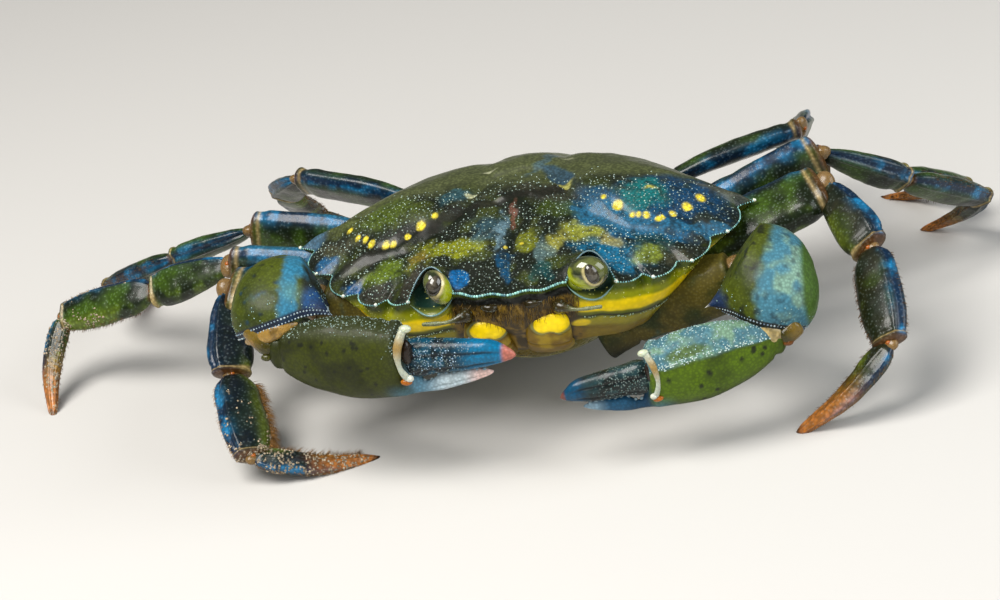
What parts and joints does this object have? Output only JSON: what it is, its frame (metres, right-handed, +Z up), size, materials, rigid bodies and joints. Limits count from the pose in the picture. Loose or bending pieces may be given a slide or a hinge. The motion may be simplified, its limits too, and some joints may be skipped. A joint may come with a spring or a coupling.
{
  "type": "shore crab model",
  "caption": "Life-size still model of a shore crab standing on its walking legs, both claws folded in front of its mouth",
  "frame": {"origin": "on the floor, under the middle of the whole crab's bounding box", "axes": "+X is the crab's left, -Y its front, +Z up"},
  "size_m": [0.1308, 0.0794, 0.0278],
  "materials": {
    "shell": "wet olive and blue-green shell with pale granules and yellow spots",
    "underside": "smooth yellow and olive shell",
    "claw_shell": "glossy olive shell with dark dots and pale blue granules",
    "claw_finger": "glossy blue-black ridged shell",
    "leg_shell": "glossy olive shell with a blue upper edge",
    "leg_tip": "amber brown horny shell with pale grit",
    "eye": "wet dark cornea"
  },
  "bodies": {
    "root": {"carapace": "shell", "thorax": "underside", "abdomen": "underside", "maxilliped_left": "underside", "antennule_left": "underside", "antenna_left": "underside", "eyestalk_left": "underside", "eye_left": "eye", "maxilliped_right": "underside", "antennule_right": "underside", "antenna_right": "underside", "eyestalk_right": "underside", "eye_right": "eye", "claw_left_merus": "claw_shell", "claw_left_carpus": "claw_shell", "claw_left_palm": "claw_shell", "claw_left_finger": "claw_finger", "claw_right_merus": "claw_shell", "claw_right_carpus": "claw_shell", "claw_right_palm": "claw_shell", "claw_right_finger": "claw_finger", "leg2_left_merus": "leg_shell", "leg2_left_carpus": "leg_shell", "leg2_left_propodus": "leg_shell", "leg2_left_dactyl": "leg_tip", "leg3_left_merus": "leg_shell", "leg3_left_carpus": "leg_shell", "leg3_left_propodus": "leg_shell", "leg3_left_dactyl": "leg_tip", "leg4_left_merus": "leg_shell", "leg4_left_carpus": "leg_shell", "leg4_left_propodus": "leg_shell", "leg4_left_dactyl": "leg_tip", "leg5_left_merus": "leg_shell", "leg5_left_carpus": "leg_shell", "leg5_left_propodus": "leg_shell", "leg5_left_dactyl": "leg_tip", "leg2_right_merus": "leg_shell", "leg2_right_carpus": "leg_shell", "leg2_right_propodus": "leg_shell", "leg2_right_dactyl": "leg_tip", "leg3_right_merus": "leg_shell", "leg3_right_carpus": "leg_shell", "leg3_right_propodus": "leg_shell", "leg3_right_dactyl": "leg_tip", "leg4_right_merus": "leg_shell", "leg4_right_carpus": "leg_shell", "leg4_right_propodus": "leg_shell", "leg4_right_dactyl": "leg_tip", "leg5_right_merus": "leg_shell", "leg5_right_carpus": "leg_shell", "leg5_right_propodus": "leg_shell", "leg5_right_dactyl": "leg_tip"}
  },
  "joints": []
}
